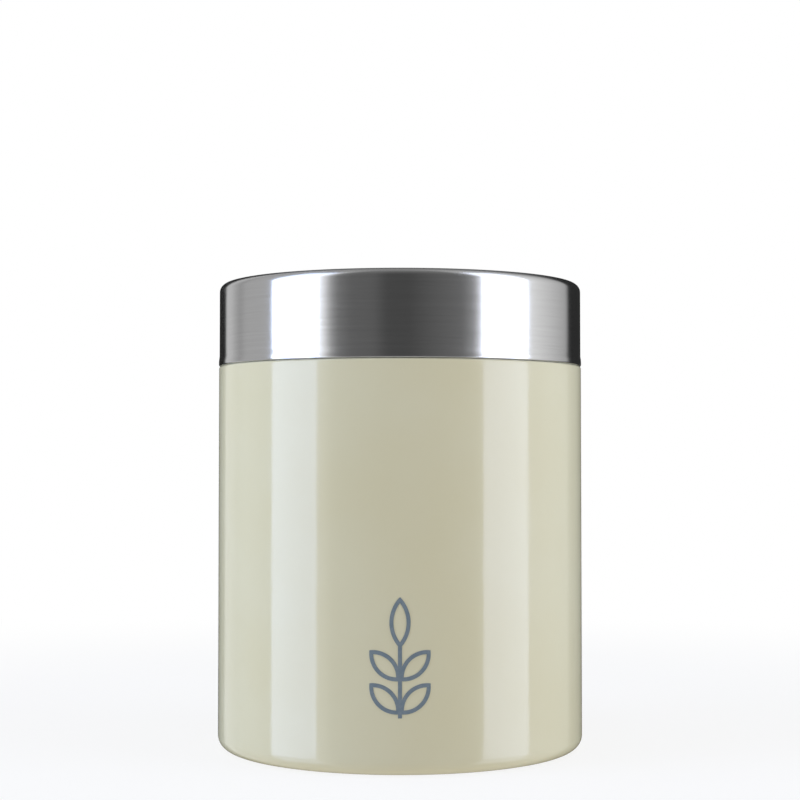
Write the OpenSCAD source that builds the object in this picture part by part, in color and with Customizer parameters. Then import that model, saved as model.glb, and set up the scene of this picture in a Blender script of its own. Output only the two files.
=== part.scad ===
// Round kitchen canister: an enamelled steel body with a steel neck ring, closed by a
// push-on brushed steel lid that carries a moulded liner and a soft seal.
// Origin: centre of the face it stands on. +Z is up, and the printed mark faces -Y.

/* [Body] */
// Outside diameter of the side wall
body_d = 110; // [100:1:130]
// Height from the table to the top of the closed lid
total_h = 139.5; // [120:0.5:200]
// Thickness of the enamelled sheet steel
wall_t = 0.6; // [0.5:0.1:0.8]
// Outside radius of the rounded bottom edge
foot_r = 4; // [3:0.5:5]
// Width of the flat ring that the canister stands on
foot_w = 4; // [3:0.5:6]
// Height of the base panel over the table
base_lift = 2.2; // [2.2:0.1:3]
// Radius of the stiffening bead pressed into the base panel
base_bead_r = 30; // [15:1:36]

/* [Neck] */
// Height of the neck above the shoulder
neck_h = 16; // [14:1:18]
// Thickness of the neck ring and of the lid's sheet steel
sheet_t = 0.5; // [0.4:0.1:0.6]
// Distance from the side wall's outside face to the neck's inside face
neck_inset = 3.9; // [3.8:0.1:4.2]
// Outside radius of the curl along the neck's top edge
curl_r = 0.8; // [0.7:0.05:0.85]

/* [Lid] */
// Height of the lid
lid_h = 25; // [24:1:30]
// How far the lid's side stands inside the wall's outside face
lid_inset = 0.15; // [0:0.05:0.3]
// Outside radius of the lid's top edge
lid_edge_r = 2.5; // [2:0.5:3]
// Height of the folded hem at the lid's lower edge
hem_h = 3; // [2.5:0.5:4]
// How far the hem stands proud of the lid's side
hem_proud = 0.2; // [0.1:0.05:0.25]
// Thickness of the moulded liner's walls
liner_t = 1.2; // [1:0.1:1.3]
// Depth of the liner's plug below the top of the lid
plug_depth = 16; // [15:0.5:17]
// Number of stiffening ribs moulded under the liner's disc
rib_count = 12; // [6:1:18]

/* [Mark] */
// Height of the printed leaf sprig
mark_h = 33; // [24:1:40]
// Height of the sprig's lower end over the table
mark_z = 16; // [8:1:40]
// Width of the printed lines
stroke = 1.1; // [0.8:0.1:2]

/* [Hidden] */
$fn = 180;

cream = [0.86, 0.84, 0.74];
steel = [0.75, 0.75, 0.76];
slate = [0.44, 0.49, 0.51];
// Air between pieces that are bonded or pressed together, and under the closed lid
clearance = 0.05;
seat_gap = 0.05;
// How far a cutting tool runs past what it cuts
overcut = 1;
bend_fn = 48;

body_r = body_d / 2;
wall_ri = body_r - wall_t;

// Shoulder, where the lid seats
shoulder_z = total_h - lid_h;
shoulder_r = 0.65;

// Neck ring
neck_ri = body_r - neck_inset;
neck_ro = neck_ri + sheet_t;
neck_top = shoulder_z + neck_h;
neck_flange_z = shoulder_z - wall_t - clearance;
neck_bend = 0.7;
neck_leg = 8;

// Base pan: a rim on the wall's foot flange, an S bend and a raised panel
foot_ri = body_r - foot_r - foot_w;
pan_t = 0.6;
pan_rim_inset = 0.6;
pan_rim_r = body_r - foot_r - pan_rim_inset;
pan_bend = (base_lift - wall_t + pan_t) / 2;
pan_ledge = 2;
pan_step_r = foot_ri - pan_ledge;
pan_bead = 2;
sealant_w = 2.6;
sealant_h = 1.3;

// Lap of the welded side seam, at the back, and where it stops short of the foot and the neck
lap_w = 6;
lap_foot_gap = 2;
lap_neck_gap = 1;

// Lid cap
lid_z = shoulder_z + seat_gap;
lid_r = body_r - lid_inset;
cap_ri = lid_r - sheet_t;
hem_ro = lid_r + hem_proud;
hem_fold_gap = 0.1;
hem_t = 2 * sheet_t + hem_fold_gap;

// Liner, with a plug that holds the seal in a groove
liner_ro = cap_ri - clearance;
liner_top = total_h - sheet_t - clearance;
plug_gap = 1.5;
plug_ro = neck_ri - plug_gap;
plug_t = 2;
plug_z = total_h - plug_depth;
groove_foot = 2;
groove_z = plug_z + groove_foot;
groove_h = 4.4;
groove_d = 1.2;

// Ribs under the liner's disc, from a round hub out to the plug
hub_r = 9;
hub_t = 1;
rib_t = 1;
rib_h = 1.6;

// Seal
lip_gap = 0.1;
lip_r = neck_ri - lip_gap;
lip_start = 0.5;
lip_root = 1;
lip_tip = 0.4;
lip_pitch = 1.9;

// Printed film
film_t = 0.1;
leaf_len = 11.8;
leaf_w = 5.8;
bud_len = 14;
leaf_tilt = 45;
leaf_pitch = 9;

// Rectangle in the turning profile, from radius r0 to r1 and height z0 to z1
module strip(r0, r1, z0, z1) {
    translate([r0, z0]) square([r1 - r0, z1 - z0]);
}

// Quarter turn of sheet of thickness t: side and up are 1 or -1 and pick the quadrant
module bend(r, z, radius, t, side, up) {
    translate([r, z]) intersection() {
        difference() {
            circle(radius, $fn = bend_fn);
            circle(radius - t, $fn = bend_fn);
        }
        scale([side, up]) square(radius);
    }
}

// Tube sector of the lap, w wide, centred on the back of the wall
module back_lap(w, z0, z1) {
    intersection() {
        difference() {
            translate([0, 0, z0]) cylinder(r = wall_ri + clearance, h = z1 - z0);
            translate([0, 0, z0 - overcut])
                cylinder(r = wall_ri - wall_t, h = z1 - z0 + 2 * overcut);
        }
        translate([-w / 2, 0, z0]) cube([w, body_r, z1 - z0]);
    }
}

// Rolled wall with its shoulder, rounded foot and the lap of its side seam
module side_wall() {
    color(cream) union() {
        rotate_extrude() {
            strip(foot_ri, body_r - foot_r, 0, wall_t);
            bend(body_r - foot_r, foot_r, foot_r, wall_t, 1, -1);
            strip(wall_ri, body_r, foot_r, shoulder_z - shoulder_r);
            bend(body_r - shoulder_r, shoulder_z - shoulder_r, shoulder_r, wall_t, 1, 1);
            strip(neck_ro + neck_bend - sheet_t + clearance, body_r - shoulder_r,
                  shoulder_z - wall_t, shoulder_z);
        }
        back_lap(lap_w, foot_r + lap_foot_gap, neck_flange_z - neck_leg - lap_neck_gap);
    }
}

// Pressed base: flat rim, S bend up to the panel, and one round stiffening bead
module base_pan() {
    rim_z = wall_t + clearance;
    panel_z = base_lift + clearance;
    mid_z = rim_z + pan_bend;
    step = 2 * pan_bend - pan_t;
    color(cream) rotate_extrude() {
        strip(pan_step_r, pan_rim_r, rim_z, rim_z + pan_t);
        bend(pan_step_r, mid_z, pan_bend, pan_t, -1, -1);
        bend(pan_step_r - step, mid_z, pan_bend, pan_t, 1, 1);
        strip(base_bead_r + pan_bead - pan_t / 2, pan_step_r - step, panel_z, panel_z + pan_t);
        strip(0, base_bead_r - pan_bead + pan_t / 2, panel_z, panel_z + pan_t);
        bend(base_bead_r, panel_z, pan_bead, pan_t, 1, 1);
        bend(base_bead_r, panel_z, pan_bead, pan_t, -1, 1);
    }
}

// Fillet of sealing compound between the pan's rim and the wall's foot
module base_sealant() {
    inside_r = foot_r - wall_t - clearance / 2;
    start_r = pan_rim_r + clearance / 2;
    color("whitesmoke") rotate_extrude() intersection() {
        strip(start_r, start_r + sealant_w, 0, wall_t + sealant_h);
        translate([body_r - foot_r, foot_r]) circle(inside_r, $fn = 2 * bend_fn);
    }
}

// Neck with an open outward curl, a flange under the shoulder and a leg down the wall
module neck_ring() {
    leg_ro = wall_ri - clearance;
    flange_lo = neck_flange_z - sheet_t;
    curl_z = neck_top - curl_r;
    color(steel) rotate_extrude() {
        bend(neck_ri + curl_r, curl_z, curl_r, sheet_t, -1, 1);
        bend(neck_ri + curl_r, curl_z, curl_r, sheet_t, 1, 1);
        bend(neck_ri + curl_r, curl_z, curl_r, sheet_t, 1, -1);
        strip(neck_ri, neck_ro, flange_lo + neck_bend, curl_z);
        bend(neck_ri + neck_bend, flange_lo + neck_bend, neck_bend, sheet_t, -1, -1);
        strip(neck_ri + neck_bend, leg_ro - neck_bend, flange_lo, neck_flange_z);
        bend(leg_ro - neck_bend, neck_flange_z - neck_bend, neck_bend, sheet_t, 1, 1);
        strip(leg_ro - sheet_t, leg_ro, neck_flange_z - neck_leg, neck_flange_z - neck_bend);
    }
}

// Pointed leaf outline with its foot at the origin and its tip up +Y
module leaf(len, w) {
    arc_r = (len * len + w * w) / (4 * w);
    reach = arc_r - w / 2;
    translate([0, len / 2]) difference() {
        intersection_for(side = [-1, 1]) translate([side * reach, 0]) circle(arc_r);
        intersection_for(side = [-1, 1])
            translate([side * reach, 0]) circle(arc_r - stroke);
    }
}

// Sprig: a stem with a bud on top and two pairs of leaves, alike on both sides
module sprig() {
    translate([-stroke / 2, 0]) square([stroke, mark_h - bud_len + stroke]);
    translate([0, mark_h - bud_len]) leaf(bud_len, leaf_w);
    for (pair = [0, 1], side = [-1, 1])
        translate([0, stroke + pair * leaf_pitch])
            rotate(side * leaf_tilt) leaf(leaf_len, leaf_w);
}

// Thin printed film that follows the wall
module front_mark() {
    color(slate) intersection() {
        difference() {
            translate([0, 0, mark_z - overcut])
                cylinder(r = body_r + film_t, h = mark_h + 2 * overcut);
            translate([0, 0, mark_z - 2 * overcut])
                cylinder(r = body_r, h = mark_h + 4 * overcut);
        }
        translate([0, 0, mark_z]) rotate([90, 0, 0]) linear_extrude(body_r + 2 * overcut) sprig();
    }
}

// Drawn cap: flat top, rounded edge, skirt and a folded hem with a round lower edge
module lid_cap() {
    hem_ri = hem_ro - hem_t;
    hem_r = hem_t / 2;
    color(steel) rotate_extrude() {
        strip(0, lid_r - lid_edge_r, total_h - sheet_t, total_h);
        bend(lid_r - lid_edge_r, total_h - lid_edge_r, lid_edge_r, sheet_t, 1, 1);
        strip(cap_ri, lid_r, lid_z + hem_h, total_h - lid_edge_r);
        polygon([[hem_ri, lid_z + hem_r], [hem_ro, lid_z + hem_r], [hem_ro, lid_z + hem_h / 2],
                 [lid_r, lid_z + hem_h], [hem_ri, lid_z + hem_h]]);
        intersection() {
            translate([hem_ri + hem_r, lid_z + hem_r]) circle(hem_r, $fn = bend_fn);
            strip(hem_ri, hem_ro, lid_z, lid_z + hem_r);
        }
    }
}

// Hub and radial ribs that hang from the height z, out to the radius r
module rib_star(r, z) {
    rotate_extrude() strip(hub_r - hub_t, hub_r, z - rib_h, z);
    for (n = [0 : rib_count - 1]) rotate(n * 360 / rib_count)
        translate([hub_r - hub_t / 2, -rib_t / 2, z - rib_h])
            cube([r - hub_r + hub_t / 2, rib_t, rib_h]);
}

// Moulded liner: disc, skirt held in by the cap's hem, and the plug with the seal groove
module lid_liner() {
    edge_r = lid_edge_r - sheet_t - clearance;
    disc_z = liner_top - liner_t;
    bend_r = lid_r - lid_edge_r;
    bend_z = total_h - lid_edge_r;
    color("gainsboro") union() {
        rotate_extrude() {
            strip(0, bend_r, disc_z, liner_top);
            bend(bend_r, bend_z, edge_r, liner_t, 1, 1);
            strip(liner_ro - liner_t, liner_ro, lid_z + hem_h + clearance, bend_z);
            strip(plug_ro - plug_t, plug_ro - groove_d, plug_z, disc_z);
            strip(plug_ro - groove_d, plug_ro, plug_z, groove_z);
            strip(plug_ro - groove_d, plug_ro, groove_z + groove_h, disc_z);
        }
        rib_star(plug_ro - plug_t + clearance, disc_z + clearance);
    }
}

// Soft seal: a band in the plug's groove with two lips that wipe the neck
module seal_ring() {
    band_ri = plug_ro - groove_d + clearance;
    band_z = groove_z + clearance;
    band_h = groove_h - 2 * clearance;
    color("white") rotate_extrude() {
        strip(band_ri, plug_ro + clearance, band_z, band_z + band_h);
        for (n = [0, 1]) translate([plug_ro, band_z + lip_start + n * lip_pitch])
            polygon([[0, 0], [lip_r - plug_ro, lip_root - lip_tip],
                     [lip_r - plug_ro, lip_root], [0, lip_root + lip_tip]]);
    }
}

side_wall();
base_pan();
base_sealant();
neck_ring();
front_mark();
lid_cap();
lid_liner();
seal_ring();
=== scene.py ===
import math

import bmesh
import bpy
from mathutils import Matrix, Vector


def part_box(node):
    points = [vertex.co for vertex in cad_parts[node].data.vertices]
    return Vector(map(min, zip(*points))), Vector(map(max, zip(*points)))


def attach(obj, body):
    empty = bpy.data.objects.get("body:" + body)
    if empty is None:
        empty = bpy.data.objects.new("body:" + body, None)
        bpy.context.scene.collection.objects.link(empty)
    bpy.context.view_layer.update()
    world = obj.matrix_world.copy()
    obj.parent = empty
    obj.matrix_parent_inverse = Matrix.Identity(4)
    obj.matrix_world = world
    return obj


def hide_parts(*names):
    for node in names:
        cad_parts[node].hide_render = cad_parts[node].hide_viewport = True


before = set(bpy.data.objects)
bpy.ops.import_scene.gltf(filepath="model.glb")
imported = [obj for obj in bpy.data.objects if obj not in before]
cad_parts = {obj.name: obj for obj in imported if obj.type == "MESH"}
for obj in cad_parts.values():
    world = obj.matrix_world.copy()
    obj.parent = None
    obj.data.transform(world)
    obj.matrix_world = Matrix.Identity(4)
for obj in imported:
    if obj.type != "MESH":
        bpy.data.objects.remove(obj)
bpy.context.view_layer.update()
mm = 0.001


# Lowest and highest corners of a part, in millimetres
def cornersOf(node):
    low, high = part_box(node)
    return low / mm, high / mm


wallLow, wallHigh = cornersOf("side_wall")
panLow, panHigh = cornersOf("base_pan")
sealantHigh = cornersOf("base_sealant")[1]
neckLow, neckHigh = cornersOf("neck_ring")
capLow, capHigh = cornersOf("lid_cap")
linerLow, linerHigh = cornersOf("lid_liner")
sealLow, sealHigh = cornersOf("seal_ring")

# every sheet and moulding is a section of (radius, height) points, turned about the upright axis
turned = dict(steps=288, bendStep=9.0, filletStep=13.5, longestRow=6.0, railRadius=1.0,
              sharpAngle=38.0, weld=2e-7, tightestMitre=0.5, easeShare=0.25, easeStart=0.3)


# Follows a strip of sheet: go straight, then turn left (+) or right (-) on a bend radius
def walkSheet(start, heading, moves):
    r, z = start
    angle = math.radians(heading)
    points = [(r, z)]
    for length, turn, radius in moves:
        r += length * math.cos(angle)
        z += length * math.sin(angle)
        points.append((r, z))
        count = max(1, round(abs(turn) / turned["bendStep"])) if turn else 0
        side = math.copysign(1.0, turn)
        centre = (r - side * radius * math.sin(angle), z + side * radius * math.cos(angle))
        for step in range(count):
            angle += math.radians(turn) / count
            r = centre[0] + side * radius * math.sin(angle)
            z = centre[1] - side * radius * math.cos(angle)
            points.append((r, z))
    return dropRepeats(points)


def dropRepeats(points, gap=1e-4):
    kept = [points[0]]
    for point in points[1:]:
        if math.dist(point, kept[-1]) > gap:
            kept.append(point)
    return kept


# Both faces of a sheet, from its middle line, with the cut ends eased over
def thickenSheet(path, thickness, easeStart=True, easeEnd=True):
    half = thickness / 2
    left, right = [], []
    last = len(path) - 1
    for n, point in enumerate(path):
        here = Vector(point)
        before = Vector(path[max(n - 1, 0)])
        after = Vector(path[min(n + 1, last)])
        inward = (here - before).normalized() if n else (after - here).normalized()
        outward = (after - here).normalized() if n < last else inward
        along = (inward + outward).normalized()
        normal = Vector((-along.y, along.x))
        reach = half / max(turned["tightestMitre"], along.dot(outward))
        left.append(here + normal * reach)
        right.append(here - normal * reach)
    ease = thickness * turned["easeShare"]
    if easeEnd:
        tip = (Vector(path[-1]) - Vector(path[-2])).normalized()
        left[-1:] = easedEnd(left[-1], right[-1], tip, ease)
    if easeStart:
        tip = (Vector(path[0]) - Vector(path[1])).normalized()
        right[:1] = reversed(easedEnd(right[0], left[0], tip, ease))
    return [tuple(point) for point in left + right[::-1]]


# The corner of a cut end, rolled over a little on both sides
def easedEnd(near, far, tip, ease):
    across = (far - near).normalized()
    small = ease * turned["easeStart"]
    return [near - tip * ease, near - tip * small + across * small,
            near + across * ease, far - across * ease]


# Rounds the corners of a solid section: each corner is (radius, height, fillet)
def roundSection(corners, closed):
    count = len(corners)
    points = []
    for n, (r, z, fillet) in enumerate(corners):
        here = Vector((r, z))
        if fillet <= 0 or (not closed and n in (0, count - 1)):
            points.append((r, z))
            continue
        toBefore = (Vector(corners[n - 1][:2]) - here).normalized()
        toAfter = (Vector(corners[(n + 1) % count][:2]) - here).normalized()
        opening = toBefore.angle(toAfter)
        setback = fillet / math.tan(opening / 2)
        centre = here + (toBefore + toAfter).normalized() * (fillet / math.sin(opening / 2))
        first = here + toBefore * setback - centre
        sweep = math.pi - opening
        side = math.copysign(1.0, toBefore.x * toAfter.y - toBefore.y * toAfter.x)
        steps = max(2, round(math.degrees(sweep) / turned["filletStep"]))
        for step in range(steps + 1):
            turn = -side * sweep * step / steps
            spot = Vector((first.x * math.cos(turn) - first.y * math.sin(turn),
                           first.x * math.sin(turn) + first.y * math.cos(turn)))
            points.append(tuple(centre + spot))
    return dropRepeats(points)


# Splits long straight runs, so that the turned mesh has even rows
def addRows(outline, closed, longest):
    ends = outline[1:] + outline[:1] if closed else outline[1:]
    rows = []
    for start, end in zip(outline, ends):
        count = max(1, math.ceil(math.dist(start, end) / longest))
        for n in range(count):
            rows.append(tuple(a + (b - a) * n / count for a, b in zip(start, end)))
    return rows if closed else rows + [outline[-1]]


# Adds a node; an input given as a socket is linked, and any other value is set on it
def addNode(tree, kind, inputs=(), **settings):
    made = tree.nodes.new(kind)
    for name, value in settings.items():
        setattr(made, name, value)
    for name, value in dict(inputs).items():
        if isinstance(value, bpy.types.NodeSocket):
            tree.links.new(value, made.inputs[name])
        else:
            made.inputs[name].default_value = value
    return made


def addMath(tree, operation, *values):
    return addNode(tree, "ShaderNodeMath", dict(enumerate(values)), operation=operation).outputs[0]


def newGeometryTree(name, sockets):
    tree = bpy.data.node_groups.new(name, "GeometryNodeTree")
    tree.interface.new_socket("Geometry", in_out="INPUT", socket_type="NodeSocketGeometry")
    for label, kind in sockets.items():
        tree.interface.new_socket(label, in_out="INPUT", socket_type="NodeSocket" + kind)
    tree.interface.new_socket("Geometry", in_out="OUTPUT", socket_type="NodeSocketGeometry")
    return tree, tree.nodes.new("NodeGroupInput").outputs


# The tree's last nodes: real geometry with the piece's material on it
def closeTree(tree, geometry, material):
    real = addNode(tree, "GeometryNodeRealizeInstances", {"Geometry": geometry})
    painted = addNode(tree, "GeometryNodeSetMaterial",
                      {"Geometry": real.outputs[0], "Material": material})
    addNode(tree, "NodeGroupOutput", {"Geometry": painted.outputs[0]})


def addTree(obj, tree, values):
    modifier = obj.modifiers.new(tree.name, "NODES")
    modifier.node_group = tree
    for item in tree.interface.items_tree:
        if item.in_out == "INPUT" and item.name in values:
            modifier[item.identifier] = values[item.name]


# Swaps the modifiers' result in as the piece's own mesh
def bakeTrees(obj):
    bpy.context.view_layer.update()
    result = bpy.data.meshes.new_from_object(
        obj.evaluated_get(bpy.context.evaluated_depsgraph_get()))
    obj.modifiers.clear()
    obj.data = result
    result.name = obj.name
    return obj


def linkMesh(name, points, edges=(), faces=()):
    mesh = bpy.data.meshes.new(name)
    mesh.from_pydata(points, edges, faces)
    obj = bpy.data.objects.new(name, mesh)
    bpy.context.scene.collection.objects.link(obj)
    return obj


# Sweeps a section round the axis; Crowding packs the steps closer at the back of the canister
def turnTree():
    tree, inputs = newGeometryTree("turnSection", {
        "Steps": "Int", "Rail Radius": "Float", "Crowding": "Float", "Weld": "Float",
        "Material": "Material"})
    rail = inputs["Rail Radius"]
    profile = addNode(tree, "GeometryNodeMeshToCurve", {"Mesh": inputs["Geometry"]})
    place = addNode(tree, "ShaderNodeSeparateXYZ",
                    {0: addNode(tree, "GeometryNodeInputPosition").outputs[0]})
    laid = addNode(tree, "ShaderNodeCombineXYZ", {
        "X": addMath(tree, "SUBTRACT", place.outputs["X"], rail),
        "Y": addMath(tree, "MULTIPLY", place.outputs["Z"], -1.0)})
    profile = addNode(tree, "GeometryNodeSetPosition",
                      {"Geometry": profile.outputs[0], "Position": laid.outputs[0]})
    circle = addNode(tree, "GeometryNodeCurvePrimitiveCircle",
                     {"Resolution": inputs["Steps"], "Radius": rail})
    # angle from the back, less a share of its own sine
    fromBack = addMath(tree, "ARCTAN2", place.outputs["X"], place.outputs["Y"])
    crowded = addMath(tree, "SUBTRACT", fromBack, addMath(
        tree, "MULTIPLY", inputs["Crowding"], addMath(tree, "SINE", fromBack)))
    spot = addNode(tree, "ShaderNodeCombineXYZ", {
        "X": addMath(tree, "MULTIPLY", rail, addMath(tree, "SINE", crowded)),
        "Y": addMath(tree, "MULTIPLY", rail, addMath(tree, "COSINE", crowded))})
    circle = addNode(tree, "GeometryNodeSetPosition",
                     {"Geometry": circle.outputs[0], "Position": spot.outputs[0]})
    swept = addNode(tree, "GeometryNodeCurveToMesh",
                    {"Curve": circle.outputs[0], "Profile Curve": profile.outputs[0]})
    merged = addNode(tree, "GeometryNodeMergeByDistance",
                     {"Geometry": swept.outputs[0], "Distance": inputs["Weld"]})
    closeTree(tree, merged.outputs[0], inputs["Material"])
    return tree


turnSection = turnTree()


# Turns a section into a closed piece. An open section starts and ends on the axis
def turnPiece(name, outline, material, closed=True, steps=None, crowding=0.0, longest=None):
    rows = addRows(outline, closed, longest or turned["longestRow"])
    count = len(rows)
    edges = [(n, (n + 1) % count) for n in range(count if closed else count - 1)]
    obj = linkMesh(name, [(r * mm, 0, z * mm) for r, z in rows], edges)
    addTree(obj, turnSection, {"Steps": steps or turned["steps"],
                               "Rail Radius": turned["railRadius"] * mm,
                               "Crowding": crowding, "Weld": turned["weld"],
                               "Material": material})
    return bakeTrees(obj)


# Merges doubles, turns the faces outwards and keeps the real creases sharp
def tidyMesh(obj):
    work = bmesh.new()
    work.from_mesh(obj.data)
    bmesh.ops.remove_doubles(work, verts=work.verts, dist=turned["weld"])
    bmesh.ops.dissolve_degenerate(work, edges=work.edges, dist=turned["weld"] / 2)
    bmesh.ops.recalc_face_normals(work, faces=work.faces)
    work.to_mesh(obj.data)
    work.free()
    obj.data.shade_smooth()
    obj.data.set_sharp_from_angle(angle=math.radians(turned["sharpAngle"]))
    return obj


def newMaterial(name):
    material = bpy.data.materials.new(name)
    material.use_nodes = True
    tree = material.node_tree
    shader = next(n for n in tree.nodes if n.type == "BSDF_PRINCIPLED")
    return material, tree, shader


def objectPlace(tree):
    return addNode(tree, "ShaderNodeTexCoord").outputs["Object"]


def addNoise(tree, vector, scale, detail=3.0, roughness=0.5):
    return addNode(tree, "ShaderNodeTexNoise", {
        "Vector": vector, "Scale": scale, "Detail": detail, "Roughness": roughness}).outputs[0]


def addRange(tree, value, fromLow, fromHigh, toLow, toHigh):
    return addNode(tree, "ShaderNodeMapRange", {
        "Value": value, "From Min": fromLow, "From Max": fromHigh,
        "To Min": toLow, "To Max": toHigh}).outputs[0]


# Soft patches from 0 to 1; spread is how far either side of the middle they fade
def addPatches(tree, vector, scale, detail=4.0, middle=0.5, spread=0.15, roughness=0.5):
    noise = addNoise(tree, vector, scale, detail, roughness)
    return addRange(tree, noise, middle - spread, middle + spread, 0.0, 1.0)


def mixColour(tree, share, first, second):
    mix = addNode(tree, "ShaderNodeMix", data_type="RGBA")
    for socket, value in zip((mix.inputs[0], mix.inputs[6], mix.inputs[7]),
                             (share, first, second)):
        if isinstance(value, bpy.types.NodeSocket):
            tree.links.new(value, socket)
        else:
            socket.default_value = value if isinstance(value, float) else (*value, 1.0)
    return mix.outputs[2]


def addBump(tree, height, distance):
    return addNode(tree, "ShaderNodeBump", {"Height": height, "Distance": distance}).outputs[0]


# grainTurn is a quarter turn, which sets the streaks of light across the grain
brushed = dict(axisGap=0.01, fineDetail=3.0, fineRoughness=0.6, broadDetail=2.0,
               broadRoughness=0.5, tintLow=0.3, tintHigh=0.7, grainTurn=0.25)


# Runs round the axis and across the grain: long, thin streaks that never meet in a seam
def turnedGrain(tree, along, across):
    x, y, z = addNode(tree, "ShaderNodeSeparateXYZ", {0: objectPlace(tree)}).outputs
    radius = addMath(tree, "SQRT", addMath(tree, "ADD", addMath(tree, "MULTIPLY", x, x),
                                           addMath(tree, "MULTIPLY", y, y)))
    safe = addMath(tree, "MAXIMUM", radius, brushed["axisGap"] * mm)
    return addNode(tree, "ShaderNodeCombineXYZ", {
        "X": addMath(tree, "MULTIPLY", addMath(tree, "DIVIDE", x, safe), along),
        "Y": addMath(tree, "MULTIPLY", addMath(tree, "DIVIDE", y, safe), along),
        "Z": addMath(tree, "MULTIPLY", addMath(tree, "SUBTRACT", radius, z), across)}).outputs[0]


# the darker shoulder colour is painted shade where the lid's hem shades the shoulder; the same
# colour also marks the back seam's dark line
enamel = dict(cream=(0.735, 0.677, 0.457), warm=(0.720, 0.655, 0.426), cloudScale=26.0,
              shoulderShadeAndSeam=(0.60, 0.56, 0.40), shoulderShadeBand=0.5, shoulderShadeShare=0.25,
              seamHalf=0.34, seamShare=0.75, seamDepth=0.3,
              gloss=0.085, dull=0.15, smearScale=60.0, ior=1.5,
              peelScale=620.0, peelHeight=1.1e-5,
              scuff=(0.40, 0.37, 0.30), scuffBand=0.5, scuffScale=240.0, scuffRough=0.35)


# Glossy cream enamel: clouds a little, has painted shade on the shoulder's edge under the lid's
# hem, is darker along the back seam, and is scuffed underneath
def enamelMaterial():
    material, tree, shader = newMaterial("creamEnamel")
    place = objectPlace(tree)
    x, y, height = addNode(tree, "ShaderNodeSeparateXYZ", {0: place}).outputs
    clouds = addPatches(tree, place, enamel["cloudScale"])
    colour = mixColour(tree, clouds, enamel["cream"], enamel["warm"])
    # painted shade: the top half millimetre of the shoulder, under the lid's hem, is darkened in
    # the colour; the seam mask adds the back seam's own dark line
    shoulder = wallHigh.z * mm
    shoulderShadeAndSeam = addRange(tree, height, shoulder - enamel["shoulderShadeBand"] * mm, shoulder,
                    0.0, enamel["shoulderShadeShare"])
    behind = addMath(tree, "GREATER_THAN", y, (wallHigh.x - enamel["seamDepth"]) * mm)
    seam = addRange(tree, addMath(tree, "ABSOLUTE", x), 0.0, enamel["seamHalf"] * mm,
                    enamel["seamShare"], 0.0)
    shoulderShadeAndSeam = addMath(tree, "MAXIMUM", shoulderShadeAndSeam, addMath(tree, "MULTIPLY", seam, behind))
    colour = mixColour(tree, shoulderShadeAndSeam, colour, enamel["shoulderShadeAndSeam"])
    low = addRange(tree, height, 0.0, enamel["scuffBand"] * mm, 1.0, 0.0)
    rubbed = addPatches(tree, place, enamel["scuffScale"], detail=6.0, middle=0.59,
                        spread=0.09, roughness=0.7)
    worn = addMath(tree, "MULTIPLY", low, rubbed)
    tree.links.new(mixColour(tree, worn, colour, enamel["scuff"]), shader.inputs["Base Color"])
    smears = addPatches(tree, place, enamel["smearScale"], detail=5.0, middle=0.6,
                        spread=0.2, roughness=0.6)
    smears = addRange(tree, smears, 0.0, 1.0, enamel["gloss"], enamel["dull"])
    rough = addMath(tree, "ADD", smears, addMath(tree, "MULTIPLY", worn, enamel["scuffRough"]))
    tree.links.new(rough, shader.inputs["Roughness"])
    peel = addNoise(tree, place, enamel["peelScale"], detail=2.0, roughness=0.4)
    tree.links.new(addBump(tree, peel, enamel["peelHeight"]), shader.inputs["Normal"])
    shader.inputs["IOR"].default_value = enamel["ior"]
    return material


# broadShare is how much of the grain is in wider streaks, broadWidth how many times wider
lidSteelLook = dict(dark=(0.60, 0.60, 0.60), bright=(0.67, 0.67, 0.67), along=3.0,
                    across=6500.0, broadShare=0.35, broadWidth=6.0, roughLow=0.15,
                    roughHigh=0.21, smearScale=38.0, smearRough=0.03, anisotropic=0.85,
                    grainHeight=2.5e-7)
neckSteelLook = dict(dark=(0.54, 0.54, 0.55), bright=(0.62, 0.62, 0.63), along=5.0,
                     across=5200.0, broadShare=0.35, broadWidth=6.0, roughLow=0.24,
                     roughHigh=0.34, smearScale=60.0, smearRough=0.05, anisotropic=0.6,
                     grainHeight=6e-7)


# Steel polished on a turning wheel, so the grain runs round the axis
def turnedSteel(name, look):
    material, tree, shader = newMaterial(name)
    finePlace = turnedGrain(tree, look["along"], look["across"])
    fine = addNoise(tree, finePlace, 1.0, brushed["fineDetail"], brushed["fineRoughness"])
    broadPlace = turnedGrain(tree, look["along"] / 2, look["across"] / look["broadWidth"])
    broad = addNoise(tree, broadPlace, 1.0, brushed["broadDetail"], brushed["broadRoughness"])
    grain = addMath(tree, "ADD", addMath(tree, "MULTIPLY", fine, 1 - look["broadShare"]),
                    addMath(tree, "MULTIPLY", broad, look["broadShare"]))
    tint = addRange(tree, grain, brushed["tintLow"], brushed["tintHigh"], 0.0, 1.0)
    tree.links.new(mixColour(tree, tint, look["dark"], look["bright"]),
                   shader.inputs["Base Color"])
    smears = addPatches(tree, objectPlace(tree), look["smearScale"], detail=5.0, middle=0.55,
                        spread=0.12)
    streaks = addRange(tree, tint, 0.0, 1.0, look["roughLow"], look["roughHigh"])
    rough = addMath(tree, "ADD", streaks, addMath(tree, "MULTIPLY", smears, look["smearRough"]))
    tree.links.new(rough, shader.inputs["Roughness"])
    tree.links.new(addBump(tree, grain, look["grainHeight"]), shader.inputs["Normal"])
    tangent = addNode(tree, "ShaderNodeTangent", direction_type="RADIAL", axis="Z")
    tree.links.new(tangent.outputs[0], shader.inputs["Tangent"])
    shader.inputs["Metallic"].default_value = 1.0
    shader.inputs["Anisotropic"].default_value = look["anisotropic"]
    shader.inputs["Anisotropic Rotation"].default_value = brushed["grainTurn"]
    return material


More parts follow.
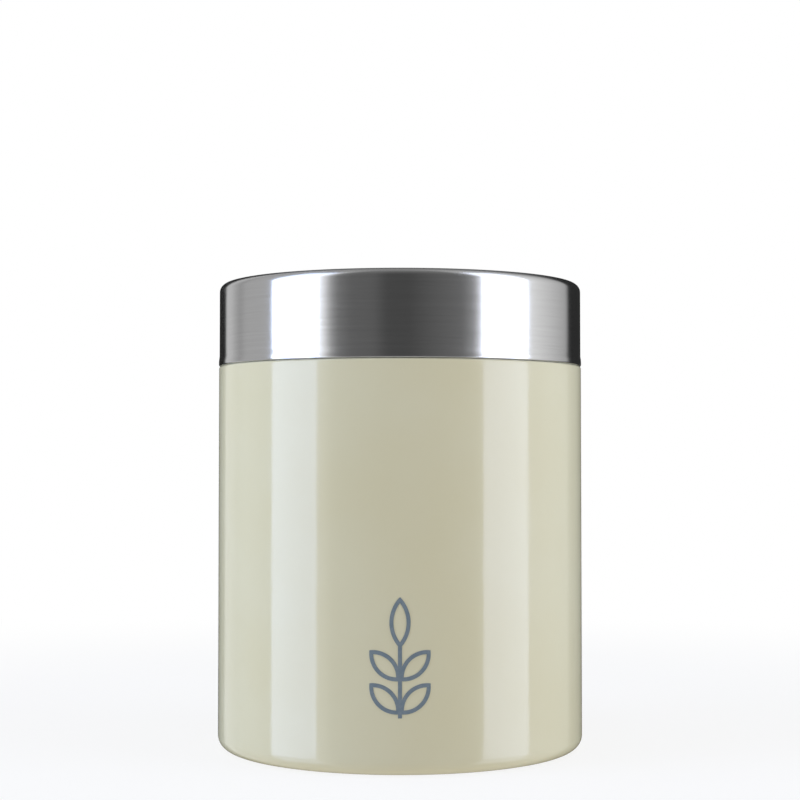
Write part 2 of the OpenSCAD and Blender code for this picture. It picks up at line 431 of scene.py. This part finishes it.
linerLook = dict(light=(0.72, 0.72, 0.705), shade=(0.68, 0.68, 0.665), cloudScale=40.0,
                 roughLow=0.34, roughHigh=0.46, skinScale=2600.0, skinHeight=6e-6, glow=0.08)
sealLook = dict(light=(0.80, 0.80, 0.78), shade=(0.74, 0.74, 0.72), cloudScale=60.0,
                roughLow=0.28, roughHigh=0.42, skinScale=1800.0, skinHeight=5e-6, glow=0.3)
sealantLook = dict(light=(0.66, 0.66, 0.64), shade=(0.58, 0.58, 0.56), cloudScale=160.0,
                   roughLow=0.5, roughHigh=0.65, skinScale=700.0, skinHeight=4e-5, glow=0.05)


# dullShare is how much finer the dull patches are than the clouds, glowDepth is in millimetres
moulded = dict(dullShare=3.0, dullDetail=5.0, dullSpread=0.2, skinDetail=3.0,
               skinRoughness=0.6, glowDepth=1.5)


# Moulded plastics and rubbers: a little cloudy, with a fine skin
def mouldedMaterial(name, look):
    material, tree, shader = newMaterial(name)
    place = objectPlace(tree)
    clouds = addPatches(tree, place, look["cloudScale"])
    tree.links.new(mixColour(tree, clouds, look["light"], look["shade"]),
                   shader.inputs["Base Color"])
    dull = addPatches(tree, place, look["cloudScale"] * moulded["dullShare"],
                      moulded["dullDetail"], spread=moulded["dullSpread"])
    rough = addRange(tree, dull, 0.0, 1.0, look["roughLow"], look["roughHigh"])
    tree.links.new(rough, shader.inputs["Roughness"])
    skin = addNoise(tree, place, look["skinScale"], moulded["skinDetail"],
                    moulded["skinRoughness"])
    tree.links.new(addBump(tree, skin, look["skinHeight"]), shader.inputs["Normal"])
    shader.inputs["Subsurface Weight"].default_value = look["glow"]
    shader.inputs["Subsurface Scale"].default_value = moulded["glowDepth"] * mm
    return material


ink = dict(slate=(0.175, 0.220, 0.245), worn=(0.215, 0.255, 0.272), poreScale=900.0,
           poreHeight=8e-6, roughLow=0.28, roughHigh=0.42)


# Satin printing ink, a little patchy where it sank into the enamel
def inkMaterial():
    material, tree, shader = newMaterial("slateInk")
    pores = addPatches(tree, objectPlace(tree), ink["poreScale"], detail=4.0, middle=0.53,
                       spread=0.13, roughness=0.6)
    tree.links.new(mixColour(tree, pores, ink["slate"], ink["worn"]),
                   shader.inputs["Base Color"])
    tree.links.new(addRange(tree, pores, 0.0, 1.0, ink["roughLow"], ink["roughHigh"]),
                   shader.inputs["Roughness"])
    tree.links.new(addBump(tree, pores, ink["poreHeight"]), shader.inputs["Normal"])
    return material


creamEnamel = enamelMaterial()
lidSteel = turnedSteel("lidSteel", lidSteelLook)
neckSteel = turnedSteel("neckSteel", neckSteelLook)
linerPlastic = mouldedMaterial("linerPlastic", linerLook)
sealRubber = mouldedMaterial("sealRubber", sealLook)
sealantPaste = mouldedMaterial("sealantPaste", sealantLook)
slateInk = inkMaterial()
print("materials made:", len(bpy.data.materials))

wall = dict(sheet=0.6, footRadius=4.0, footWidth=4.0, shoulderRadius=0.65, shoulderIn=2.85,
            crowding=0.8, steps=360, row=3.0,
            lapWidth=6.0, lapDepth=0.6, lapFoot=6.0, lapTop=9.65, lapEase=0.5,
            grooveWidth=0.45, grooveDepth=0.11, waviness=0.02, waveScale=26.0)


# The side seam at the back: the edges lap inside, and a shallow line shows outside
def seamTree():
    tree, inputs = newGeometryTree("sideSeam", {
        "Mid Radius": "Float", "Lap Width": "Float", "Lap Depth": "Float", "Lap Ease": "Float",
        "Lap Low": "Float", "Lap High": "Float", "Groove Width": "Float",
        "Groove Depth": "Float", "Waviness": "Float", "Wave Scale": "Float",
        "Material": "Material"})
    place = addNode(tree, "GeometryNodeInputPosition").outputs[0]
    x, y, z = addNode(tree, "ShaderNodeSeparateXYZ", {0: place}).outputs
    flat = addNode(tree, "ShaderNodeCombineXYZ", {"X": x, "Y": y}).outputs[0]
    radius = addNode(tree, "ShaderNodeVectorMath", {0: flat}, operation="LENGTH").outputs["Value"]
    arc = addMath(tree, "MULTIPLY", addMath(
        tree, "ABSOLUTE", addMath(tree, "ARCTAN2", x, y)), radius)
    half = addMath(tree, "DIVIDE", inputs["Lap Width"], 2.0)

    # 1 well inside the edge, 0 outside it
    def within(value, edge):
        return addNode(tree, "ShaderNodeMapRange", {
            "Value": value, "From Min": addMath(tree, "SUBTRACT", edge, inputs["Lap Ease"]),
            "From Max": edge, "To Min": 1.0, "To Max": 0.0},
            interpolation_type="SMOOTHSTEP").outputs[0]

    across = within(arc, half)
    below = within(z, inputs["Lap High"])
    above = within(addMath(tree, "MULTIPLY", z, -1.0),
                   addMath(tree, "MULTIPLY", inputs["Lap Low"], -1.0))
    inside = addMath(tree, "LESS_THAN", radius, inputs["Mid Radius"])
    lap = addMath(tree, "MULTIPLY", addMath(tree, "MULTIPLY", across, below),
                  addMath(tree, "MULTIPLY", above, inside))
    reach = addMath(tree, "DIVIDE", arc, inputs["Groove Width"])
    bell = addMath(tree, "EXPONENT", addMath(
        tree, "MULTIPLY", addMath(tree, "MULTIPLY", reach, reach), -1.0))
    groove = addMath(tree, "MULTIPLY", bell, addMath(tree, "SUBTRACT", 1.0, inside))
    waves = addNode(tree, "ShaderNodeTexNoise", {
        "Vector": place, "Scale": inputs["Wave Scale"], "Detail": 1.0}).outputs[0]
    inward = addMath(tree, "ADD", addMath(tree, "MULTIPLY", lap, inputs["Lap Depth"]), addMath(
        tree, "ADD", addMath(tree, "MULTIPLY", groove, inputs["Groove Depth"]),
        addMath(tree, "MULTIPLY", waves, inputs["Waviness"])))
    outwards = addNode(tree, "ShaderNodeVectorMath", {0: flat}, operation="NORMALIZE").outputs[0]
    shift = addNode(tree, "ShaderNodeVectorMath", {
        0: outwards, "Scale": addMath(tree, "MULTIPLY", inward, -1.0)}, operation="SCALE")
    moved = addNode(tree, "GeometryNodeSetPosition",
                    {"Geometry": inputs["Geometry"], "Offset": shift.outputs[0]})
    closeTree(tree, moved.outputs[0], inputs["Material"])
    return tree


bodyRadius = wallHigh.x
wallMiddle = bodyRadius - wall["sheet"] / 2
footIn = bodyRadius - wall["footRadius"] - wall["footWidth"]
wallPath = walkSheet((footIn, wallLow.z + wall["sheet"] / 2), 0, [
    (wall["footWidth"], 90, wall["footRadius"] - wall["sheet"] / 2),
    (wallHigh.z - wallLow.z - wall["footRadius"] - wall["shoulderRadius"],
     90, wall["shoulderRadius"] - wall["sheet"] / 2),
    (wall["shoulderIn"] - wall["shoulderRadius"], 0, 0)])
sideWall = turnPiece("sideWall", thickenSheet(wallPath, wall["sheet"]), creamEnamel,
                     steps=wall["steps"], crowding=wall["crowding"], longest=wall["row"])
addTree(sideWall, seamTree(), {
    "Mid Radius": wallMiddle * mm, "Lap Width": wall["lapWidth"] * mm,
    "Lap Depth": wall["lapDepth"] * mm, "Lap Ease": wall["lapEase"] * mm,
    "Lap Low": wall["lapFoot"] * mm, "Lap High": (wallHigh.z - wall["lapTop"]) * mm,
    "Groove Width": wall["grooveWidth"] * mm, "Groove Depth": wall["grooveDepth"] * mm,
    "Waviness": wall["waviness"] * mm, "Wave Scale": wall["waveScale"],
    "Material": creamEnamel})
tidyMesh(bakeTrees(sideWall))
print("side wall turned:", len(sideWall.data.polygons), "faces")

pan = dict(sheet=0.6, rimWidth=5.4, stepBend=0.8, beadRadius=30.0, beadFoot=0.45,
           beadCrown=0.95)
panPath = walkSheet((panHigh.x, panLow.z + pan["sheet"] / 2), 180, [
    (pan["rimWidth"], -90, pan["stepBend"]),
    (0, 90, pan["stepBend"]),
    (panHigh.x - pan["rimWidth"] - 2 * pan["stepBend"] - pan["beadRadius"]
     - pan["beadFoot"] - pan["beadCrown"], -90, pan["beadFoot"]),
    (0, 180, pan["beadCrown"]),
    (0, -90, pan["beadFoot"]),
    (pan["beadRadius"] - pan["beadFoot"] - pan["beadCrown"], 0, 0)])
basePan = tidyMesh(turnPiece("basePan", thickenSheet(panPath, pan["sheet"], easeEnd=False),
                             creamEnamel, closed=False))

# dip is how far the paste's top sinks at its two edges, the more suddenly the higher its power;
# trim is what its outer edge stays short
paste = dict(clear=0.025, dip=0.2, dipPower=4, trim=0.08, steps=9)
pasteIn = panHigh.x + paste["clear"]
pasteOut = sealantHigh.x - paste["trim"]
footCentre = (bodyRadius - wall["footRadius"], wallLow.z + wall["footRadius"])
footInside = wall["footRadius"] - wall["sheet"] - paste["clear"]
pasteSection = []
for step in range(paste["steps"]):
    share = step / (paste["steps"] - 1)
    pasteSection.append((pasteIn + (pasteOut - pasteIn) * share,
                         sealantHigh.z - paste["dip"] * (2 * share - 1) ** paste["dipPower"]))
for step in range(paste["steps"]):
    share = step / (paste["steps"] - 1)
    r = pasteOut + (pasteIn - pasteOut) * share
    angle = math.asin((r - footCentre[0]) / footInside)
    pasteSection.append((r, footCentre[1] - footInside * math.cos(angle)))
baseSealant = tidyMesh(turnPiece("baseSealant", pasteSection, sealantPaste))
print("base made:", len(basePan.data.polygons), "faces")

neck = dict(sheet=0.5, legHeight=8.0, legBend=0.75, footBend=0.45, curlBend=0.55, neckIn=3.25)
neckLeg = neckHigh.x - neck["sheet"] / 2
neckMiddle = neckHigh.x - neck["neckIn"] + neck["sheet"] / 2
flangeRun = neckLeg - neckMiddle - neck["legBend"] - neck["footBend"]
flangeMiddle = neckLow.z + neck["legHeight"] - neck["sheet"] / 2
curlStart = neckHigh.z - neck["sheet"] / 2 - neck["curlBend"]
neckPath = walkSheet((neckLeg, neckLow.z), 90, [
    (neck["legHeight"] - neck["sheet"] / 2 - neck["legBend"], 90, neck["legBend"]),
    (flangeRun, -90, neck["footBend"]),
    (curlStart - flangeMiddle - neck["footBend"], -270, neck["curlBend"])])
neckRing = tidyMesh(turnPiece("neckRing", thickenSheet(neckPath, neck["sheet"]), neckSteel))
print("neck ring made:", len(neckRing.data.polygons), "faces")

cap = dict(sheet=0.5, edgeRadius=2.5, hemHeight=3.0, hemProud=0.2, flareBend=2.0, hemBend=0.3,
           steps=320)
capRadius = capHigh.x - cap["hemProud"]
flareTurn = math.degrees(math.atan2(cap["hemProud"], cap["hemHeight"] / 2))
flareArc = cap["flareBend"] * math.tan(math.radians(flareTurn) / 2)
flareRun = math.hypot(cap["hemProud"], cap["hemHeight"] / 2) - 2 * flareArc
hemFold = cap["hemBend"] + cap["sheet"] / 2
capPath = walkSheet((0, capHigh.z - cap["sheet"] / 2), 0, [
    (capRadius - cap["edgeRadius"], -90, cap["edgeRadius"] - cap["sheet"] / 2),
    (capHigh.z - capLow.z - cap["edgeRadius"] - cap["hemHeight"] - flareArc,
     flareTurn, cap["flareBend"]),
    (flareRun, -flareTurn, cap["flareBend"]),
    (cap["hemHeight"] / 2 - flareArc - hemFold, -180, cap["hemBend"]),
    (cap["hemHeight"] - hemFold, 0, 0)])
lidCap = tidyMesh(turnPiece("lidCap", thickenSheet(capPath, cap["sheet"], easeStart=False),
                            lidSteel, closed=False, steps=cap["steps"]))
print("lid cap made:", len(lidCap.data.polygons), "faces")

liner = dict(wall=1.2, edgeRadius=1.95, rootRadius=0.7, plugInset=4.7, plugWall=2.0,
             grooveDepth=1.2, grooveFoot=2.0, grooveHeight=4.4, sealClear=0.05,
             fillet=0.4, edgeFillet=0.2, lipFillet=0.15, grooveFillet=0.1,
             gateRadius=2.2, gateDepth=0.5, gateSlope=0.4)
linerOut = linerHigh.x
linerIn = linerOut - liner["wall"]
discLow = linerHigh.z - liner["wall"]
plugOut = linerOut - liner["plugInset"]
plugIn = plugOut - liner["plugWall"]
grooveIn = plugOut - liner["grooveDepth"]
grooveLow = sealLow.z - liner["sealClear"]
grooveHigh = grooveLow + liner["grooveHeight"]
plugLow = grooveLow - liner["grooveFoot"]
gateLow = discLow - liner["gateDepth"]
linerSection = roundSection([
    (0, linerHigh.z, 0),
    (linerOut, linerHigh.z, liner["edgeRadius"]),
    (linerOut, linerLow.z, liner["edgeFillet"]),
    (linerIn, linerLow.z, liner["edgeFillet"]),
    (linerIn, discLow, liner["rootRadius"]),
    (plugOut, discLow, liner["fillet"]),
    (plugOut, grooveHigh, liner["lipFillet"]),
    (grooveIn, grooveHigh, liner["grooveFillet"]),
    (grooveIn, grooveLow, liner["grooveFillet"]),
    (plugOut, grooveLow, liner["lipFillet"]),
    (plugOut, plugLow, liner["fillet"]),
    (plugIn, plugLow, liner["fillet"]),
    (plugIn, discLow, liner["fillet"]),
    (liner["gateRadius"], discLow, liner["lipFillet"]),
    (liner["gateRadius"] - liner["gateSlope"], gateLow, liner["lipFillet"]),
    (0, gateLow, 0)], closed=False)
lidLiner = tidyMesh(turnPiece("lidLiner", linerSection, linerPlastic, closed=False))


# Copies one rib round the axis, Count times
def ribTree():
    tree, inputs = newGeometryTree("ribRing", {"Count": "Int", "Material": "Material"})
    spots = addNode(tree, "GeometryNodeMeshLine", {
        "Count": inputs["Count"], "Offset": (0.0, 0.0, 0.0)})
    turn = addMath(tree, "DIVIDE", addMath(
        tree, "MULTIPLY", addNode(tree, "GeometryNodeInputIndex").outputs[0], math.tau),
        inputs["Count"])
    spin = addNode(tree, "ShaderNodeCombineXYZ", {"Z": turn})
    copies = addNode(tree, "GeometryNodeInstanceOnPoints", {
        "Points": spots.outputs[0], "Instance": inputs["Geometry"],
        "Rotation": spin.outputs[0]})
    closeTree(tree, copies.outputs[0], inputs["Material"])
    return tree


ribs = dict(count=12, width=1.0, depth=1.6, draft=0.12, sink=0.05,
            hubRadius=9.0, hubWall=1.0, hubFillet=0.2, hubSteps=120)


# A straight rib with drafted sides, lying along X and hanging from the disc
def ribMesh(name, start, end, top):
    low = top - ribs["depth"]
    draft = ribs["draft"]
    half = ribs["width"] / 2
    foot = half - draft
    section = [(-half, top + ribs["sink"]), (-foot, low + draft), (-foot + draft, low),
               (foot - draft, low), (foot, low + draft), (half, top + ribs["sink"])]
    count = len(section)
    points = [(x * mm, y * mm, z * mm) for x in (start, end) for y, z in section]
    faces = [tuple(range(count)), tuple(range(2 * count - 1, count - 1, -1))]
    for n in range(count):
        after = (n + 1) % count
        faces.append((n, n + count, after + count, after))
    return linkMesh(name, points, faces=faces)


linerRibs = ribMesh("linerRibs", ribs["hubRadius"] - ribs["hubWall"] / 2,
                    plugIn + ribs["sink"], discLow)
addTree(linerRibs, ribTree(), {"Count": ribs["count"], "Material": linerPlastic})
tidyMesh(bakeTrees(linerRibs))
hubIn = ribs["hubRadius"] - ribs["hubWall"]
hubLow = discLow - ribs["depth"]
hubHigh = discLow + ribs["sink"]
hubSection = roundSection([
    (hubIn, hubLow, ribs["hubFillet"]),
    (ribs["hubRadius"], hubLow, ribs["hubFillet"]),
    (ribs["hubRadius"], hubHigh, 0),
    (hubIn, hubHigh, 0)], closed=True)
linerHub = tidyMesh(turnPiece("linerHub", hubSection, linerPlastic, steps=ribs["hubSteps"]))
print("liner made:", len(lidLiner.data.polygons), "faces")

seal = dict(clear=0.05, fillet=0.12, lipCount=2, lipStart=0.5, lipPitch=1.9, lipRoot=1.4,
            lipTip=0.4, lipRise=0.6)
bandIn = grooveIn + seal["clear"]
bandOut = plugOut + seal["clear"]
lipOut = sealHigh.x
sealCorners = [(bandIn, sealLow.z), (bandOut, sealLow.z)]
for lip in range(seal["lipCount"]):
    root = sealLow.z + seal["lipStart"] + lip * seal["lipPitch"]
    tip = root + seal["lipRise"]
    sealCorners += [(bandOut, root), (lipOut, tip), (lipOut, tip + seal["lipTip"]),
                    (bandOut, root + seal["lipRoot"])]
sealCorners += [(bandOut, sealHigh.z), (bandIn, sealHigh.z)]
sealSection = roundSection([(r, z, seal["fillet"]) for r, z in sealCorners], closed=True)
sealRing = tidyMesh(turnPiece("sealRing", sealSection, sealRubber))
print("seal made:", len(sealRing.data.polygons), "faces")

# the printed mark keeps its own shape, a thin film on the wall, and gets the ink
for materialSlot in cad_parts["front_mark"].material_slots:
    materialSlot.material = slateInk


# Says which body a piece moves with and which part it stands for
def settle(piece, body, node=None):
    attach(piece, body)
    if node:
        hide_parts(node)


settle(sideWall, "canister", "side_wall")
settle(basePan, "canister", "base_pan")
settle(baseSealant, "canister", "base_sealant")
settle(neckRing, "canister", "neck_ring")
settle(lidCap, "lid", "lid_cap")
settle(lidLiner, "lid", "lid_liner")
settle(linerRibs, "lid")
settle(linerHub, "lid")
settle(sealRing, "lid", "seal_ring")
print("pieces settled on their bodies")

studio = dict(floorSize=4.0, floorDrop=0.00005, floorTone=0.9, floorSpeck=0.985,
              floorGrain=30.0, floorRough=0.8, floorSheen=0.1, floorNear=0.14, floorFar=0.45,
              floorGlow=0.8, floorBounce=0.78,
              ambient=0.13, ambientTone=(1.0, 0.96, 0.84),
              boxDistance=0.9, stripDistance=0.88, boxAzimuth=67.3, boxSpan=33.0,
              boxHeight=1.05, boxLift=0.325,
              boxGlow=(3.3, 2.85), boxTone=((0.83, 1.0, 1.45), (0.90, 1.0, 1.32)),
              fillAzimuth=98.0, fillWidth=0.6, fillGlow=1.1, fillTone=(0.8, 1.0, 1.35),
              topSize=1.3, topHeight=1.2, topGlow=1.35, topTone=(1.0, 0.985, 0.95),
              drumRadius=1.4, drumLow=-0.9, drumHigh=0.8, drumSteps=96, shoulder=0.7,
              shoulderHeight=1.36, ceiling=1.7, ceilingGlow=0.36, ceilingSwing=0.5,
              ceilingStart=30.0, ceilingEnd=88.0,
              tableGlow=0.5, tableStart=-36.0, tableEnd=-55.0)
# what the gloss sees of each softbox, as (name, lowest, highest, share of its glow)
strips = [("skirt", -0.65, -0.2, 0.45), ("core", -0.2, 0.35, 1.0), ("riser", 0.35, 1.5, 0.42)]
wattsPerGlow = math.pi  # a lamp of one square metre shines at a glow of 1 at this power

# how bright the room is all round, as (direction, glow); 0 is behind the camera, + its right
surround = [(-180, 0.03), (-143, 0.02), (-140, 0.7), (-131, 0.64), (-124, 0.5), (-118, 0.4),
            (-111, 0.52), (-56, 0.54), (-50, 1.4), (-47, 1.05), (-44.5, 0.64), (-42, 0.38),
            (-38, 0.22), (-30, 0.16), (-16, 0.15), (-8, 0.09), (6, 0.09), (20, 0.135),
            (38, 0.185), (46, 0.33), (50, 0.9), (88, 1.03), (96, 0.9), (112, 0.67),
            (122, 0.55), (127, 0.5), (131, 0.03), (180, 0.03)]


# Direction seen from the canister: 0 is towards the camera, + is to the camera's right
def around(azimuth, distance, height=0.0):
    angle = math.radians(azimuth)
    return Vector((math.sin(angle) * distance, -math.cos(angle) * distance, height))


def addLamp(name, place, aim, width, height, glow, tone):
    lamp = bpy.data.lights.new(name, "AREA")
    lamp.shape = "RECTANGLE"
    lamp.size = width
    lamp.size_y = height
    lamp.energy = glow * width * height * wattsPerGlow
    lamp.color = tone
    box = bpy.data.objects.new(name, lamp)
    bpy.context.scene.collection.objects.link(box)
    box.location = place
    box.rotation_euler = (Vector(aim) - box.location).to_track_quat("-Z", "Y").to_euler()
    box.visible_camera = False
    return box


# Pale table that fades to plain white further out, with a soft shadow under the canister
def floorMaterial():
    material, tree, shader = newMaterial("paleFloor")
    place = objectPlace(tree)
    tone = studio["floorTone"]
    grain = addPatches(tree, place, studio["floorGrain"], spread=0.2)
    tree.links.new(mixColour(tree, grain, (tone,) * 3, (tone * studio["floorSpeck"],) * 3),
                   shader.inputs["Base Color"])
    shader.inputs["Roughness"].default_value = studio["floorRough"]
    shader.inputs["Specular IOR Level"].default_value = studio["floorSheen"]
    away = addNode(tree, "ShaderNodeVectorMath", {0: place}, operation="LENGTH")
    fade = addNode(tree, "ShaderNodeMapRange", {
        "Value": away.outputs["Value"], "From Min": studio["floorNear"],
        "From Max": studio["floorFar"], "To Min": studio["floorGlow"], "To Max": 1.0},
        interpolation_type="SMOOTHSTEP").outputs[0]
    seen = addNode(tree, "ShaderNodeLightPath").outputs["Is Camera Ray"]
    bright = addNode(tree, "ShaderNodeEmission", {
        "Color": (1.0, 1.0, 1.0, 1.0),
        "Strength": addRange(tree, seen, 0.0, 1.0, studio["floorBounce"], 1.0)})
    mix = addNode(tree, "ShaderNodeMixShader",
                  {0: fade, 1: shader.outputs[0], 2: bright.outputs[0]})
    # from underneath the table is clear, so the base shows
    below = addMath(tree, "MULTIPLY", seen, addNode(
        tree, "ShaderNodeNewGeometry").outputs["Backfacing"])
    clear = addNode(tree, "ShaderNodeBsdfTransparent")
    mix = addNode(tree, "ShaderNodeMixShader", {0: below, 1: mix.outputs[0], 2: clear.outputs[0]})
    out = next(n for n in tree.nodes if n.type == "OUTPUT_MATERIAL")
    tree.links.new(mix.outputs[0], out.inputs["Surface"])
    return material


# What the gloss sees: a drum round the canister, brighter at the sides, with a grey ceiling
# above and a pale table below
def drumMaterial():
    material = bpy.data.materials.new("roomDrum")
    material.use_nodes = True
    tree = material.node_tree
    tree.nodes.clear()
    x, y, z = addNode(tree, "ShaderNodeSeparateXYZ", {0: objectPlace(tree)}).outputs
    turn = addMath(tree, "ARCTAN2", x, addMath(tree, "MULTIPLY", y, -1.0))
    ramp = addNode(tree, "ShaderNodeValToRGB",
                   {0: addRange(tree, turn, -math.pi, math.pi, 0.0, 1.0)})
    stops = ramp.color_ramp.elements
    brightest = max(glow for azimuth, glow in surround)
    for azimuth, glow in surround[1:-1]:
        stops.new((azimuth + 180) / 360)
    for stop, (azimuth, glow) in zip(stops, surround):
        stop.position = (azimuth + 180) / 360
        stop.color = (*(glow / brightest,) * 3, 1.0)
    # the walls melt into a ceiling that is lighter towards the back
    swing = addMath(tree, "MULTIPLY", y, studio["ceilingSwing"] / studio["drumRadius"])
    overhead = addMath(tree, "MULTIPLY", addMath(tree, "ADD", swing, 1.0),
                       studio["ceilingGlow"] / brightest)
    flat = addNode(tree, "ShaderNodeCombineXYZ", {"X": x, "Y": y}).outputs[0]
    out = addNode(tree, "ShaderNodeVectorMath", {0: flat}, operation="LENGTH").outputs["Value"]
    rise = addMath(tree, "ARCTAN2", addMath(tree, "SUBTRACT", z, capHigh.z * mm), out)
    high = addRange(tree, rise, math.radians(studio["ceilingStart"]),
                    math.radians(studio["ceilingEnd"]), 0.0, 1.0)
    level = mixColour(tree, high, ramp.outputs[0], overhead)
    low = addRange(tree, rise, math.radians(studio["tableEnd"]),
                   math.radians(studio["tableStart"]), 1.0, 0.0)
    level = mixColour(tree, low, level, (studio["tableGlow"] / brightest,) * 3)
    shine = addNode(tree, "ShaderNodeEmission", {"Color": level, "Strength": brightest})
    addNode(tree, "ShaderNodeOutputMaterial", {0: shine.outputs[0]})
    return material


half = studio["floorSize"] / 2
floor = linkMesh("floor", [(x * half, y * half, -studio["floorDrop"]) for x, y in
                           ((-1, -1), (1, -1), (1, 1), (-1, 1))], faces=[(0, 1, 2, 3)])
floor.data.materials.append(floorMaterial())
floor.visible_glossy = False

drumSection = [(0, studio["drumLow"]),
               (studio["drumRadius"], studio["drumLow"]),
               (studio["drumRadius"], studio["drumHigh"]),
               (studio["drumRadius"] * studio["shoulder"], studio["shoulderHeight"]),
               (0, studio["ceiling"])]
drum = turnPiece("roomDrum", [(r / mm, z / mm) for r, z in drumSection], drumMaterial(),
                 closed=False, steps=studio["drumSteps"], longest=studio["floorSize"] / mm)
drum.visible_camera = False
drum.visible_diffuse = False
drum.visible_shadow = False

world = bpy.data.worlds.new("studioAir")
bpy.context.scene.world = world
world.use_nodes = True
air = world.node_tree
sky = next(n for n in air.nodes if n.type == "BACKGROUND")
seen = addNode(air, "ShaderNodeLightPath").outputs["Is Camera Ray"]
air.links.new(addRange(air, seen, 0.0, 1.0, studio["ambient"], 1.0), sky.inputs["Strength"])
air.links.new(mixColour(air, seen, studio["ambientTone"], (1.0, 1.0, 1.0)),
              sky.inputs["Color"])

boxWidth = 2 * studio["boxDistance"] * math.tan(math.radians(studio["boxSpan"]) / 2)
stripWidth = boxWidth * studio["stripDistance"] / studio["boxDistance"]
for n, (side, label) in enumerate(((-1, "Left"), (1, "Right"))):
    place = around(side * studio["boxAzimuth"], studio["boxDistance"], studio["boxLift"])
    softbox = addLamp("softbox" + label, place, (0, 0, studio["boxLift"]), boxWidth,
                      studio["boxHeight"], studio["boxGlow"][n], studio["boxTone"][n])
    softbox.visible_glossy = False
    for strip, low, high, share in strips:
        lift = (low + high) / 2
        place = around(side * studio["boxAzimuth"], studio["stripDistance"], lift)
        glossOnly = addLamp(strip + label, place, (0, 0, lift), stripWidth, high - low,
                            studio["boxGlow"][n] * share, studio["boxTone"][n])
        glossOnly.visible_diffuse = False
    place = around(side * studio["fillAzimuth"], studio["boxDistance"], studio["boxLift"])
    fill = addLamp("sideFill" + label, place, (0, 0, studio["boxLift"]), studio["fillWidth"],
                   studio["boxHeight"], studio["fillGlow"], studio["fillTone"])
    fill.visible_glossy = False
topLamp = addLamp("topLight", (0, 0, studio["topHeight"]), (0, 0, 0), studio["topSize"],
                  studio["topSize"], studio["topGlow"], studio["topTone"])
topLamp.visible_glossy = False

view = dict(distance=0.5367, height=0.0872, tiltUp=1.86, lens=79.1, sensor=36.0, nearest=0.02)
camera = bpy.data.objects.new("camera", bpy.data.cameras.new("camera"))
bpy.context.scene.collection.objects.link(camera)
camera.data.lens = view["lens"]
camera.data.sensor_width = view["sensor"]
camera.data.clip_start = view["nearest"]
camera.location = (0, -view["distance"], view["height"])
camera.rotation_euler = (math.radians(90 + view["tiltUp"]), 0, 0)
bpy.context.scene.camera = camera
bpy.context.scene.view_settings.view_transform = "Standard"
print("studio set")
